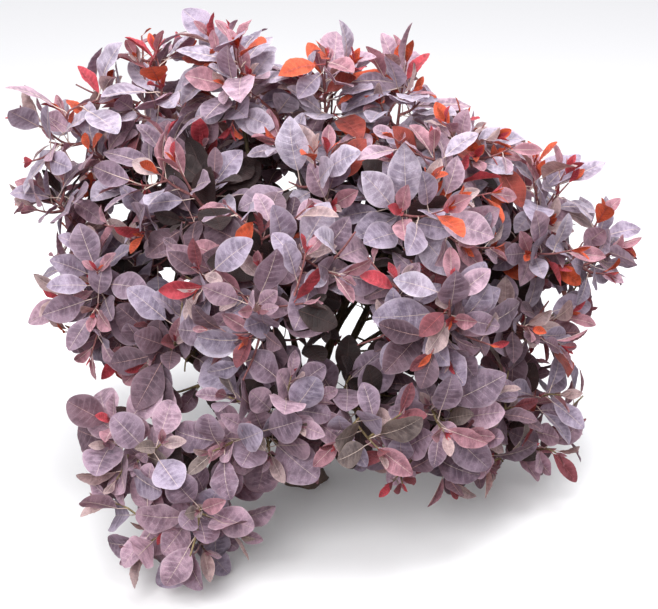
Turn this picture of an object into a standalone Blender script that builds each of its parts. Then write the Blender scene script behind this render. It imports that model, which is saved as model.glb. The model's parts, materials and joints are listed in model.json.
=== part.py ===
"""Smoke bush with plum-purple leaves, about 1.05 m wide and 0.8 m high, rooted in level ground.

Metres, +Z up. -Y is the side the bush is seen from and +X is to its right. The origin is the
centre of the flat cut under the short trunk.

The short trunk divides at once into a fan of stems. Each bough ends where it enters one mass of
foliage, and every mass grows by the same seeded rule: a stem, a few side shoots, and leaves set
spirally along them. A mass keeps to its own space, so no two of them meet.
"""

import math
import random
from typing import NamedTuple

import bmesh
import bpy
from mathutils import Matrix, Vector
from mathutils.bvhtree import BVHTree

SEED = 11
UP = Vector((0.0, 0.0, 1.0))

# Clearance that keeps neighbouring pieces apart, more of it round a faceted tube, and the
# merging distance of a tube's caps
GAP = 0.0003
TUBE_GAP = 0.0004
WELD = 0.00001

# The trunk: a leaning stump with a root flare, cut flat at the ground
TRUNK_HEIGHT = 0.090
TRUNK_RADIUS = 0.023
TRUNK_FLARE = 0.6
TRUNK_FLARE_HEIGHT = 0.018
TRUNK_LEAN = (0.10, -0.06)
TRUNK_SIDES = 16
TRUNK_LEVELS = (1.0, 0.93, 0.80, 0.62, 0.42, 0.25, 0.12, 0.0)
ROOT_RIDGES = 5
ROOT_RIDGE_DEPTH = 0.10

# Boughs: the tip's radius, how much stouter a foot is than what it carries, and the facets
BOUGH_TIP_RADIUS = 0.0032
BOUGH_FOOT_FACTOR = 1.25
BOUGH_RINGS = 6
BOUGH_BEVEL_RESOLUTION = 1
BOUGH_START_LIFT = math.radians(16)
BOUGH_LEAST_LIFT = math.radians(38)
BOUGH_MOST_LIFT = math.radians(86)
BOUGH_ARRIVAL_STEEPNESS = 1.25
BOUGH_ARRIVAL_DROOP = math.radians(10)
BOUGH_START_SHARE = 0.34
BOUGH_END_SHARE = 0.30
BOUGH_INSIDE_SHARE = 0.90
BOUGH_STEP = 0.002

# Twigs inside a mass: the stem, and the side shoots from its first third upwards
STEM_RINGS = 3
STEM_RADIUS = 0.0034
SHOOT_RADIUS = 0.0030
SHOOT_TIP_RADIUS = 0.0022
FIRST_SHOOT = 0.26
LAST_SHOOT = 0.72
SIDE_SHOOTS = 3
WIDE_SIDE_SHOOTS = 4
WIDE_REACH = 0.145
SHOOT_LENGTH_SHARE = 0.50
SHOOT_LENGTHS = (0.85, 1.2)
SHOOT_SPREAD = math.radians(58)
SHOOT_TURNS_OUT = 0.40
SHOOT_TURNS_UP = 0.20

# Leaves: a blade on a stalk, larger than life because they are fewer
LEAF_LENGTH = 0.122
LEAF_LEAST_SHARE = 0.60
LEAF_WIDTH = 0.60
LEAF_THICKNESS = 0.020
LEAF_WIDEST = 0.60
LEAF_KEEL_AT = 0.48
LEAF_TIP_WIDTH = 0.50
LEAF_DROOP = 0.05
LEAF_SUNK = 0.0016
LEAF_BASE_LENGTH = 0.006
LEAVES_PER_SHOOT = 7
STEM_LEAVES_FROM = 0.42
SHOOT_LEAVES_FROM = 0.30
LEAF_SIZES = 6
LEAF_TRIES = 4
LEAF_SPREAD_LOW = math.radians(88)
LEAF_SPREAD_TIP = math.radians(40)
LEAF_SWING = math.radians(34)
LEAF_LIFT = 0.45
LEAF_LOOKS_OUT = 0.9
LEAF_LOOKS_UP = 0.5
GOLDEN_ANGLE = math.radians(137.5)

# A point belongs to a mass up to this squared share of its reach, and only by this margin
# over every other mass
MOST_REACH = 1.12
SPACE_MARGIN = 0.03
LIMB_CLEARANCE = 0.0015

# The heart of the crown, which every leaf turns its underside to
HEART = Vector((0.03, 0.06, 0.24))

# Openings where the sky shows through the crown: lines from where the bush is seen,
# each through a named point and with a radius there
SEEN_FROM = Vector((0.040, -2.040, 1.140))
OPENINGS = (
    (Vector((0.077, 0.000, 0.290)), 0.024),
    (Vector((0.100, 0.000, 0.268)), 0.018),
    (Vector((-0.195, 0.000, 0.205)), 0.026),
    (Vector((-0.235, 0.000, 0.215)), 0.022),
    (Vector((-0.290, 0.000, 0.500)), 0.012),
)


class Mass(NamedTuple):
    """One mass of foliage, with where its bough springs: a share of the height of the trunk,
    or of the length of the bough named as its parent."""

    name: str
    parent: str
    spring: float
    centre: tuple
    reach: tuple
    tint: str


MASSES = (
    # the stems that rise from the trunk, with the limbs that fork from each
    Mass("lobe_foot", "trunk", 0.50, (-0.172, -0.305, 0.095), (0.106, 0.115, 0.090), "plum"),
    Mass("lobe_left", "lobe_foot", 0.34, (-0.248, -0.270, 0.205), (0.094, 0.115, 0.090), "plum"),
    Mass("lobe_right", "lobe_foot", 0.20, (-0.060, -0.300, 0.242), (0.094, 0.110, 0.087), "plum"),
    Mass("skirt_right", "trunk", 0.52, (0.222, -0.220, 0.200), (0.106, 0.120, 0.108), "plum"),
    Mass("front_flank", "skirt_right", 0.36, (0.207, -0.210, 0.400), (0.103, 0.120, 0.079), "lilac"),
    Mass("right_low", "trunk", 0.42, (0.359, -0.070, 0.130), (0.101, 0.120, 0.105), "plum"),
    Mass("left_low", "trunk", 0.48, (-0.317, -0.060, 0.367), (0.102, 0.120, 0.095), "lilac"),
    Mass("left_inner", "left_low", 0.30, (-0.194, -0.150, 0.327), (0.087, 0.110, 0.090), "plum"),
    Mass("left_wing", "left_low", 0.62, (-0.377, -0.030, 0.500), (0.092, 0.120, 0.049), "lilac"),
    Mass("back_left", "trunk", 0.50, (-0.262, 0.190, 0.456), (0.149, 0.140, 0.122), "plum"),
    Mass("back_low_left", "back_left", 0.26, (-0.238, 0.200, 0.262), (0.150, 0.140, 0.119), "plum"),
    Mass("back_right", "trunk", 0.50, (0.196, 0.220, 0.456), (0.154, 0.140, 0.124), "plum"),
    Mass("back_low_right", "back_right", 0.26, (0.139, 0.220, 0.264), (0.169, 0.140, 0.120), "plum"),
    Mass("back_flank", "back_right", 0.40, (0.342, 0.160, 0.305), (0.137, 0.140, 0.124), "plum"),
    Mass("front_heart", "trunk", 0.80, (-0.048, -0.240, 0.442), (0.112, 0.120, 0.091), "lilac"),
    Mass("skirt_mid", "front_heart", 0.34, (0.088, -0.240, 0.240), (0.112, 0.120, 0.092), "plum"),
    Mass("right_high", "trunk", 0.78, (0.381, 0.000, 0.482), (0.096, 0.120, 0.088), "lilac"),
    Mass("right_mid", "right_high", 0.40, (0.386, -0.040, 0.297), (0.095, 0.120, 0.082), "lilac"),
    Mass("right_tip", "right_high", 0.66, (0.462, -0.030, 0.399), (0.084, 0.110, 0.067), "lilac"),
    Mass("upper_left", "trunk", 0.80, (-0.231, 0.020, 0.662), (0.091, 0.120, 0.086), "lilac"),
    Mass("left_high", "upper_left", 0.55, (-0.342, 0.000, 0.594), (0.101, 0.120, 0.082), "lilac"),
    Mass("back_top", "trunk", 0.80, (-0.077, 0.230, 0.515), (0.143, 0.130, 0.125), "plum"),
    Mass("peak_left", "trunk", 0.94, (-0.097, 0.020, 0.699), (0.081, 0.110, 0.080), "lilac"),
    Mass("front_left", "peak_left", 0.45, (-0.160, -0.140, 0.550), (0.101, 0.130, 0.092), "lilac"),
    Mass("peak_right", "trunk", 0.94, (0.149, 0.030, 0.650), (0.083, 0.120, 0.086), "lilac"),
    Mass("front_right", "peak_right", 0.32, (0.170, -0.170, 0.537), (0.103, 0.120, 0.086), "lilac"),
    Mass("upper_right", "peak_right", 0.46, (0.259, 0.020, 0.562), (0.090, 0.120, 0.088), "lilac"),
    Mass("peak_mid", "peak_right", 0.55, (0.034, 0.020, 0.656), (0.082, 0.120, 0.086), "lilac"),
    Mass("front_top", "peak_mid", 0.25, (0.020, -0.130, 0.562), (0.095, 0.120, 0.080), "lilac"),
)

# Colours of the leaves and the bark: base colour and roughness
FINISHES = {
    "lilac": ((0.33, 0.22, 0.32), 0.55),
    "plum": ((0.20, 0.11, 0.17), 0.60),
    "bark": ((0.13, 0.09, 0.07), 0.85),
    "stem": ((0.17, 0.11, 0.07), 0.75),
}


def clear_scene():
    for obj in list(bpy.data.objects):
        bpy.data.objects.remove(obj)


def make_collection(name):
    collection = bpy.data.collections.new(name)
    bpy.context.scene.collection.children.link(collection)
    return collection


def material(name):
    """The finish of this name, made when it is first asked for."""
    if name in bpy.data.materials:
        return bpy.data.materials[name]
    colour, roughness = FINISHES[name]
    made = bpy.data.materials.new(name)
    made.use_nodes = True
    shader = made.node_tree.nodes["Principled BSDF"]
    shader.inputs["Base Color"].default_value = (*colour, 1.0)
    shader.inputs["Roughness"].default_value = roughness
    shader.inputs["Metallic"].default_value = 0.0
    return made


def add_object(name, mesh, collection):
    obj = bpy.data.objects.new(name, mesh)
    collection.objects.link(obj)
    return obj


def taper(first, last, count, extra=0.0):
    """Radii that fall evenly from the first to the last."""
    return [first + (last - first) * step / (count - 1) + extra for step in range(count)]


def evaluated_mesh(obj):
    """The object's mesh as its modifiers leave it."""
    bpy.context.view_layer.update()
    graph = bpy.context.evaluated_depsgraph_get()
    return bpy.data.meshes.new_from_object(obj.evaluated_get(graph))


def weld(mesh):
    """Joins the loose caps of a tube to its sides, with all faces turned outwards."""
    shape = bmesh.new()
    shape.from_mesh(mesh)
    bmesh.ops.remove_doubles(shape, verts=shape.verts, dist=WELD)
    bmesh.ops.recalc_face_normals(shape, faces=shape.faces)
    shape.to_mesh(mesh)
    shape.free()


def keep_largest_body(mesh):
    """Drops the loose scraps that a Boolean leaves and fills the hollows that it seals: what
    stays is the largest run of faces joined edge to edge."""
    shape = bmesh.new()
    shape.from_mesh(mesh)
    left, bodies = set(shape.faces), []
    while left:
        first = left.pop()
        body, front = [first], [first]
        while front:
            face = front.pop()
            near = {other for edge in face.edges for other in edge.link_faces} & left
            left -= near
            body.extend(near)
            front.extend(near)
        bodies.append(body)
    bodies.sort(key=len)
    bmesh.ops.delete(shape, geom=[face for body in bodies[:-1] for face in body], context="FACES")
    shape.to_mesh(mesh)
    shape.free()


def boolean(obj, operation, others):
    """Applies one Boolean of the object with every object of a collection."""
    modifier = obj.modifiers.new(operation.lower(), "BOOLEAN")
    modifier.operation = operation
    modifier.operand_type = "COLLECTION"
    modifier.collection = others
    mesh = evaluated_mesh(obj)
    obj.modifiers.clear()
    obj.data = mesh
    keep_largest_body(mesh)


def tube(name, points, radii, collection, profile=None):
    """A tapering tube through the points, as a closed mesh: six-sided, or with the profile of a
    curve object."""
    curve = bpy.data.curves.new(name, "CURVE")
    curve.dimensions = "3D"
    curve.use_fill_caps = True
    if profile:
        curve.bevel_mode = "OBJECT"
        curve.bevel_object = profile
    else:
        curve.bevel_depth = 1.0
        curve.bevel_resolution = BOUGH_BEVEL_RESOLUTION
    spline = curve.splines.new("POLY")
    spline.points.add(len(points) - 1)
    for node, point, radius in zip(spline.points, points, radii):
        node.co = (*point, 1.0)
        node.radius = radius
    guide = add_object(name, curve, collection)
    mesh = evaluated_mesh(guide)
    bpy.data.objects.remove(guide)
    weld(mesh)
    return add_object(name, mesh, collection)


def bezier(start, start_pull, end_pull, end, count):
    """Evenly spaced points on a cubic curve."""
    points = []
    for step in range(count + 1):
        t = step / count
        s = 1.0 - t
        points.append(s**3 * start + 3 * s * s * t * start_pull + 3 * s * t * t * end_pull + t**3 * end)
    return points


def along(points, share):
    """The place and the direction at a share of the way along a line of points."""
    at = share * (len(points) - 1)
    first = min(int(at), len(points) - 2)
    place = points[first].lerp(points[first + 1], at - first)
    return place, (points[first + 1] - points[first]).normalized()


def distance_in(mass, point):
    """0 at the centre of a mass and 1 at its outer surface, squared."""
    return sum(((p - c) / r) ** 2 for p, c, r in zip(point, mass.centre, mass.reach))


def in_space(mass, point):
    """Whether a point lies in the space of this mass and of no other, and above the ground."""
    own = distance_in(mass, point)
    if own > MOST_REACH or point.z < GAP:
        return False
    return all(own < distance_in(other, point) - SPACE_MARGIN for other in MASSES if other is not mass)


def in_opening(point):
    """Whether a point would close one of the openings through the crown."""
    for through, radius in OPENINGS:
        sight = through - SEEN_FROM
        share = (point - SEEN_FROM).dot(sight) / sight.length_squared
        if (point - SEEN_FROM - share * sight).length < radius * share:
            return True
    return False


def carried(name):
    """How many masses a bough feeds, its own among them."""
    return 1 + sum(carried(mass.name) for mass in MASSES if mass.parent == name)


def trunk_axis(height):
    """The middle of the leaning trunk at a height."""
    return Vector((TRUNK_LEAN[0] * height, TRUNK_LEAN[1] * height, height))


def trunk_radius(height):
    flare = TRUNK_FLARE * math.exp(-height / TRUNK_FLARE_HEIGHT)
    shoulder = math.sqrt(max(0.0, 1.0 - (height / TRUNK_HEIGHT) ** 4))
    return TRUNK_RADIUS * (1.0 + flare) * shoulder


def make_trunk(name, collection, extra=0.0):
    """The stump, turned from its profile, then ridged over the roots and leant."""
    heights = [TRUNK_HEIGHT * level for level in TRUNK_LEVELS]
    profile = bmesh.new()
    outline = [(trunk_radius(height) + extra * (height < TRUNK_HEIGHT), height) for height in heights]
    outline[0] = (0.0, TRUNK_HEIGHT + extra)
    outline.append((0.0, 0.0))
    corners = [profile.verts.new((radius, 0.0, height)) for radius, height in outline]
    for upper, lower in zip(corners, corners[1:]):
        profile.edges.new((upper, lower))
    mesh = bpy.data.meshes.new(name)
    profile.to_mesh(mesh)
    profile.free()
    turned = add_object(name, mesh, collection)
    screw = turned.modifiers.new("turn", "SCREW")
    screw.steps = screw.render_steps = TRUNK_SIDES
    screw.use_merge_vertices = True
    screw.merge_threshold = WELD
    mesh = evaluated_mesh(turned)
    turned.modifiers.clear()
    turned.data = mesh
    weld(mesh)
    for vertex in mesh.vertices:
        x, y, z = vertex.co
        ridge = ROOT_RIDGE_DEPTH * math.cos(ROOT_RIDGES * math.atan2(y, x)) * math.exp(-z / TRUNK_FLARE_HEIGHT)
        lean = trunk_axis(z)
        vertex.co = (x * (1.0 + ridge) + lean.x, y * (1.0 + ridge) + lean.y, z)
    return turned


def rise_to(place, start):
    """How steeply a place lies above a start."""
    away = place - start
    return math.atan2(away.z, math.hypot(away.x, away.y))


def bough_line(mass, lines):
    """The middle of the bough that feeds a mass: it leaves steeply and arches over to enter the
    mass from the side of the root."""
    centre = Vector(mass.centre)
    if mass.parent == "trunk":
        start = trunk_axis(mass.spring * TRUNK_HEIGHT)
        outward = (centre - start) * Vector((1.0, 1.0, 0.0))
        lift = rise_to(centre, start) + BOUGH_START_LIFT
        lift = min(BOUGH_MOST_LIFT, max(BOUGH_LEAST_LIFT, lift))
        leave = outward.normalized() * math.cos(lift) + UP * math.sin(lift)
    else:
        start, parent_way = along(lines[mass.parent], mass.spring)
        leave = (parent_way + (centre - start).normalized()).normalized()
    outward = ((centre - start) * Vector((1.0, 1.0, 0.0))).normalized()
    slope = min(BOUGH_MOST_LIFT, rise_to(centre, start) * BOUGH_ARRIVAL_STEEPNESS - BOUGH_ARRIVAL_DROOP)
    arrive = outward * math.cos(slope) + UP * math.sin(slope)
    inside = 0.0
    while in_space(mass, centre - arrive * inside):
        inside += BOUGH_STEP
    end = centre - arrive * inside * BOUGH_INSIDE_SHARE
    length = (end - start).length
    return bezier(start, start + leave * length * BOUGH_START_SHARE,
                  end - arrive * length * BOUGH_END_SHARE, end, BOUGH_RINGS)


def bough_radii(mass, count, extra=0.0):
    """Radii along a bough, whose foot is the stouter the more masses it feeds."""
    foot = BOUGH_TIP_RADIUS * BOUGH_FOOT_FACTOR * math.sqrt(carried(mass.name))
    return taper(foot, BOUGH_TIP_RADIUS, count, extra)


def tree_of(obj):
    """A search tree over a mesh, in world space."""
    points = [obj.matrix_world @ vertex.co for vertex in obj.data.vertices]
    return BVHTree.FromPolygons(points, [tuple(face.vertices) for face in obj.data.polygons])


def make_boughs(parts, helpers):
    """Every bough, each cut clear of the limbs made before it. Returns their middle lines and
    the fatter copies that foliage must not touch."""
    lines, guards = {}, [make_trunk("trunk_guard", helpers, LIMB_CLEARANCE)]
    fat = {"trunk": make_trunk("trunk_fat", helpers, GAP / math.cos(math.pi / TRUNK_SIDES))}
    for mass in MASSES:
        line = lines[mass.name] = bough_line(mass, lines)
        count = len(line)
        bough = tube(f"bough_{mass.name}", line, bough_radii(mass, count), parts)
        bpy.context.view_layer.update()
        own = tree_of(bough)
        cutters = make_collection("limbs_near")
        for other in fat.values():
            if own.overlap(tree_of(other)):
                cutters.objects.link(other)
        boolean(bough, "DIFFERENCE", cutters)
        bpy.data.collections.remove(cutters)
        bough.data.materials.append(material("stem"))
        fat[mass.name] = tube(f"fat_{mass.name}", line, bough_radii(mass, count, TUBE_GAP), helpers)
        guards.append(tube(f"guard_{mass.name}", line, bough_radii(mass, count, LIMB_CLEARANCE), helpers))
    for other in fat.values():
        bpy.data.objects.remove(other)
    return lines, guards


def leaf_shape():
    """One leaf of unit length along +X, upper side +Z, as the hull of its six corners: the base,
    the two sides of the widest part, the keel below, and the two ends of the blunt tip."""
    half = LEAF_WIDTH / 2
    corners = (
        (0.0, 0.0, 0.0),
        (LEAF_WIDEST, half, 0.0),
        (LEAF_WIDEST, -half, 0.0),
        (LEAF_KEEL_AT, 0.0, -LEAF_THICKNESS - LEAF_DROOP * LEAF_KEEL_AT),
        (1.0, half * LEAF_TIP_WIDTH, -LEAF_DROOP),
        (1.0, -half * LEAF_TIP_WIDTH, -LEAF_DROOP),
    )
    shape = bmesh.new()
    bmesh.ops.convex_hull(shape, input=[shape.verts.new(corner) for corner in corners])
    bmesh.ops.recalc_face_normals(shape, faces=shape.faces)
    mesh = bpy.data.meshes.new("leaf")
    shape.to_mesh(mesh)
    shape.free()
    return mesh


def twig_profile(helpers):
    """The three-cornered section that every twig is drawn along."""
    curve = bpy.data.curves.new("twig_section", "CURVE")
    curve.dimensions = "2D"
    spline = curve.splines.new("POLY")
    spline.points.add(2)
    spline.use_cyclic_u = True
    for corner, point in enumerate(spline.points):
        angle = corner * math.tau / 3
        point.co = (math.cos(angle), math.sin(angle), 0.0, 1.0)
    return add_object("twig_section", curve, helpers)


def turned_about(vector, axis, angle):
    return Matrix.Rotation(angle, 3, axis) @ vector


def across(direction):
    """Any direction at right angles to this one."""
    return direction.cross(UP if abs(direction.z) < 0.9 else Vector((1.0, 0.0, 0.0))).normalized()


def shoot_lines(mass, line, rng):
    """The stem of a mass and its side shoots, as lines of points. The stem goes on from the
    bough's tip, and every shoot curves up and away from the heart of the crown."""
    tip, way = along(line, 1.0)
    centre = Vector(mass.centre)
    outward = (centre - HEART).normalized()
    turned = SHOOT_TURNS_OUT * outward + SHOOT_TURNS_UP * UP
    inner = tip + way * GAP
    reach = (centre - inner).length
    top = centre + turned * min(mass.reach)
    stem = bezier(inner, inner + way * reach * 0.5, centre - turned * reach * 0.2, top, STEM_RINGS)
    count = WIDE_SIDE_SHOOTS if max(mass.reach) > WIDE_REACH else SIDE_SHOOTS
    size = SHOOT_LENGTH_SHARE * sum(mass.reach) / 3
    shoots, turn = [], rng.uniform(0.0, math.tau)
    for number in range(count):
        start, stem_way = along(stem, FIRST_SHOOT + (LAST_SHOOT - FIRST_SHOOT) * number / count)
        turn += GOLDEN_ANGLE
        away = turned_about(across(stem_way), stem_way, turn)
        leave = stem_way * math.cos(SHOOT_SPREAD) + away * math.sin(SHOOT_SPREAD)
        finish = (leave + turned).normalized()
        half = size * rng.uniform(*SHOOT_LENGTHS) / 2
        shoots.append([start, start + leave * half, start + (leave + finish) * half])
    return stem, shoots


def leaf_frames(mass, line, first, rng):
    """Where the leaves of one shoot stand: a place on it, the way the leaf points and the way
    its upper side faces. They spread wide low on the shoot and stand up round its tip."""
    outward = (Vector(mass.centre) - HEART).normalized()
    turn = rng.uniform(0.0, math.tau)
    for number in range(LEAVES_PER_SHOOT):
        share = number / (LEAVES_PER_SHOOT - 1)
        place, way = along(line, 1.0 - (1.0 - share) * (1.0 - first))
        turn += GOLDEN_ANGLE
        spread = LEAF_SPREAD_LOW + (LEAF_SPREAD_TIP - LEAF_SPREAD_LOW) * share
        away = turned_about(across(way), way, turn)
        points = way * math.cos(spread) + away * math.sin(spread)
        yield place - way * LEAF_SUNK, points, way + LEAF_LOOKS_OUT * outward + LEAF_LOOKS_UP * UP


def leaf_matrix(place, points, faces, length):
    points = points.normalized()
    side = faces.cross(points).normalized()
    upper = points.cross(side)
    turn = Matrix((points, side, upper)).transposed().to_4x4()
    return Matrix.Translation(place) @ turn @ Matrix.Diagonal((length, length, length, 1.0))


def fit_leaf(mass, frame, shape, taken, rng):
    """The largest leaf that stays in its mass and touches nothing, as a matrix."""
    place, points, faces = frame
    for attempt in range(LEAF_SIZES * LEAF_TRIES):
        step = attempt // LEAF_TRIES
        size = LEAF_LENGTH * (1.0 - (1.0 - LEAF_LEAST_SHARE) * step / (LEAF_SIZES - 1))
        swing = LEAF_SWING * rng.uniform(-1.0, 1.0)
        lift = LEAF_LIFT * rng.uniform(-1.0, 1.0)
        way = (turned_about(points, faces.normalized(), swing) + UP * lift).normalized()
        matrix = leaf_matrix(place, way, faces, size)
        corners = [matrix @ vertex.co for vertex in shape.vertices]
        if not all(in_space(mass, corner) for corner in corners):
            continue
        middle = sum(corners, Vector()) / len(corners)
        if in_opening(middle) or any(in_opening(corner) for corner in corners[1:]):
            continue
        # the base is sunk in its twig, so the leaf is tested from a little way out along it
        corners[0] = place + way * LEAF_BASE_LENGTH
        own = BVHTree.FromPolygons(corners, [tuple(face.vertices) for face in shape.polygons])
        if not any(own.overlap(other) for other in taken):
            return matrix
    return None


def make_mass(mass, line, shape, section, guards, parts):
    """One mass of foliage as one solid: its stem, with the shoots and leaves joined on."""
    rng = random.Random(f"{SEED} {mass.name}")
    stem_line, shoot_list = shoot_lines(mass, line, rng)
    joined = make_collection("joined")
    stem_radii = taper(STEM_RADIUS, SHOOT_TIP_RADIUS, len(stem_line))
    stem = tube(f"foliage_{mass.name}", stem_line, stem_radii, parts, section)
    taken = list(guards) + [tree_of(stem)]
    lines = [(stem_line, STEM_LEAVES_FROM)]
    for shoot in shoot_list:
        if not all(in_space(mass, point) for point in shoot):
            continue
        twig = tube("twig", shoot, taper(SHOOT_RADIUS, SHOOT_TIP_RADIUS, len(shoot)), joined, section)
        bpy.context.view_layer.update()
        own = tree_of(twig)
        if any(own.overlap(guard) for guard in guards):
            bpy.data.objects.remove(twig)
            continue
        taken.append(own)
        lines.append((shoot, SHOOT_LEAVES_FROM))
    for points, first in lines:
        for frame in leaf_frames(mass, points, first, rng):
            matrix = fit_leaf(mass, frame, shape, taken, rng)
            if matrix is None:
                continue
            leaf = add_object("leaf", shape, joined)
            leaf.matrix_world = matrix
            corners = [matrix @ vertex.co for vertex in shape.vertices]
            taken.append(BVHTree.FromPolygons(corners, [tuple(face.vertices) for face in shape.polygons]))
    boolean(stem, "UNION", joined)
    for obj in list(joined.objects):
        bpy.data.objects.remove(obj)
    bpy.data.collections.remove(joined)
    stem.data.materials.clear()
    stem.data.materials.append(material(mass.tint))


def main():
    clear_scene()
    parts = make_collection("smoke_bush")
    helpers = make_collection("helpers")
    helpers.hide_render = True
    trunk = make_trunk("trunk", parts)
    trunk.data.materials.append(material("bark"))
    lines, guard_objects = make_boughs(parts, helpers)
    bpy.context.view_layer.update()
    guards = [tree_of(guard) for guard in guard_objects]
    shape = leaf_shape()
    section = twig_profile(helpers)
    for mass in MASSES:
        make_mass(mass, lines[mass.name], shape, section, guards, parts)
    for helper in list(helpers.objects):
        bpy.data.objects.remove(helper)
    bpy.data.collections.remove(helpers)


main()
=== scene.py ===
"""Looks of the smoke bush: bark, twigs, leaf stalks with their midribs, and leaves.

Metres, +Z up, in the frame of the solids. Boughs and first twigs are grown by the rule of the
solids. The rule is carried on to finer twigs, each with a spray of leaves: large ones low on it,
young ones round its tip.
"""

import json
import math
import random
from collections import namedtuple
from functools import lru_cache

import bpy
import numpy as np
from mathutils import Matrix, Vector, noise
from mathutils.bvhtree import BVHTree

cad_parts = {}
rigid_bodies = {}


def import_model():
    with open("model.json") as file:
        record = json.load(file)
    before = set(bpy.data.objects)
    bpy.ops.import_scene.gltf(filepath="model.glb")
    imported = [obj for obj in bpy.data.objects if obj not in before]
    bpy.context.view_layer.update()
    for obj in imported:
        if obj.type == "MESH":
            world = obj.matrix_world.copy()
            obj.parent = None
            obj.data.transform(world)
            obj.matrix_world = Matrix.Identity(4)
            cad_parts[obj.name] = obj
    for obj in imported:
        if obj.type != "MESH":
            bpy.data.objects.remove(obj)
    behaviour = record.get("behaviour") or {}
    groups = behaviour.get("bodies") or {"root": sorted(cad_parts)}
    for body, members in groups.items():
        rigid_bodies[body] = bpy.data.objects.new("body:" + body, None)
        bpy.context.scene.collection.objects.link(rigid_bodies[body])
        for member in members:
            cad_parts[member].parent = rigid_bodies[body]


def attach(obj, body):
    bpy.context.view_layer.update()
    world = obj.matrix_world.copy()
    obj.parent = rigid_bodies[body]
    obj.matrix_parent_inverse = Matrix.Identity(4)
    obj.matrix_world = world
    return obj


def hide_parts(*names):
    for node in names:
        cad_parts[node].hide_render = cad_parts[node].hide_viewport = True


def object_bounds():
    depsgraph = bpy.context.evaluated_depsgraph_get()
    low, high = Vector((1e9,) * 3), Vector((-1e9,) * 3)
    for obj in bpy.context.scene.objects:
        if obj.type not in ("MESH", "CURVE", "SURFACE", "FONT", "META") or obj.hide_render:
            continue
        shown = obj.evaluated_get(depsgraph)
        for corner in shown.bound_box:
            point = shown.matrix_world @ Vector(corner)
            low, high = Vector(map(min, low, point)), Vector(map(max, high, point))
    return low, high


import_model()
SOLIDS_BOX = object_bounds()

SEED = 11
UP = Vector((0.0, 0.0, 1.0))
GAP = 0.0003
MILLIMETRES = 1000.0
GOLDEN_ANGLE = math.radians(137.5)
NEARLY_UPRIGHT = 0.9

# The trunk, as in the solids
TRUNK_HEIGHT = 0.090
TRUNK_RADIUS = 0.023
TRUNK_FLARE = 0.6
TRUNK_FLARE_HEIGHT = 0.018
TRUNK_LEAN = (0.10, -0.06)
ROOT_RIDGES = 5
ROOT_RIDGE_DEPTH = 0.10

# Boughs, as in the solids
BOUGH_TIP_RADIUS = 0.0032
BOUGH_FOOT_FACTOR = 1.25
BOUGH_START_LIFT = math.radians(16)
BOUGH_LEAST_LIFT = math.radians(38)
BOUGH_MOST_LIFT = math.radians(86)
BOUGH_ARRIVAL_STEEPNESS = 1.25
BOUGH_ARRIVAL_DROOP = math.radians(10)
BOUGH_START_SHARE = 0.34
BOUGH_END_SHARE = 0.30
BOUGH_INSIDE_SHARE = 0.90
BOUGH_STEP = 0.002
BOUGH_LINE_STEPS = 6

# The first twigs of a mass, as in the solids
STEM_LINE_STEPS = 3
STEM_START_SHARE = 0.5
STEM_END_SHARE = 0.2
STEM_RADIUS = 0.0034
SHOOT_RADIUS = 0.0030
FIRST_SHOOT = 0.26
LAST_SHOOT = 0.72
SIDE_SHOOTS = 3
WIDE_SIDE_SHOOTS = 4
WIDE_REACH = 0.145
SHOOT_LENGTH_SHARE = 0.50
SHOOT_LENGTHS = (0.85, 1.2)
SHOOT_SPREAD = math.radians(58)
SHOOT_TURNS_OUT = 0.40
SHOOT_TURNS_UP = 0.20

# Finer twigs, by the same rule. Each generation springs from the one before, and a twig grows
# only where its tip has room.
FINE_GENERATIONS = 3
FINE_TWIGS = 8
FINE_LENGTH_SHARE = 0.62
FINE_SPREAD = math.radians(64)
FINE_TURNS_OUT = 0.25
FINE_TURNS_UP = 0.15
BOUGH_TWIGS = 7
BOUGH_TWIGS_ALONG = (0.35, 0.50, 0.75, 0.98)
FINE_FIRST = 0.05
FINE_LAST = 1.0
FINE_RADIUS = 0.0021
TWIG_TIP_RADIUS = 0.0012
TIP_REACH = 0.90
TIP_ROOM = dict(top=0.057, front=0.056, skirt=0.057, lobe=0.060)

# Leaders, shoots that stand out of the crown: where along a twig they may spring, and how far
# their leaves may pass the solids
LEADER_SPRINGS = (0.2, 0.3, 0.4, 0.5, 0.6, 0.7, 0.8, 0.9, 1.0)
LEADER_LENGTH = 0.07
LEADER_PULL = 0.35
LEADER_STEPS = 4
OUTLINE_SPARE = 0.022

# Leaves of a spray, from the oldest to the youngest
SPRAY_LEAVES = 8
SPRAY_FROM = 0.12
SPRAY_CROWDING = 1.15
YOUNGEST_SHARE = 0.36
SHORTENING = 2.3
STALK_SHARE = 0.30
YOUNG_STALK_SHARE = 0.14
SPREAD_LOW = math.radians(84)
SPREAD_TIP = math.radians(28)

# How strongly a leaf faces the twig's tip, out of the crown, away from its mass's middle and up,
# and the share of the last three for a young one
LEAF_LOOKS_IN = 0.75
LEAF_LOOKS_OUT = 1.10
LEAF_LOOKS_AWAY = 0.35
LEAF_LOOKS_UP = 0.25
YOUNG_LOOKS = 0.35

# A leaf without room is swung, lifted and made smaller, further with every try
LEAF_TRIES = 10
LEAF_SWING = math.radians(34)
FIRST_SWING = 0.3
LEAF_LIFT = math.radians(22)
FIRST_LIFT = 0.4
LEAF_LEAST_SHARE = 0.66
STALK_LEAVES_ALONG = 0.5
NEIGHBOUR_REACH = 0.10

# The ages from which a leaf counts as young and may take a strong colour
YOUNG_FROM = 0.70
ACCENT_FROM = 0.86

# The tiny leaves at the tip of a spray
TIP_LEAVES = 3
TIP_SPREADS = (math.radians(10), math.radians(42))
TIP_LENGTHS = dict(top=(0.014, 0.034), front=(0.012, 0.030), skirt=(0.010, 0.024), lobe=(0.010, 0.022))
OTHER_TIP_TONE = 0.35

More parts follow.
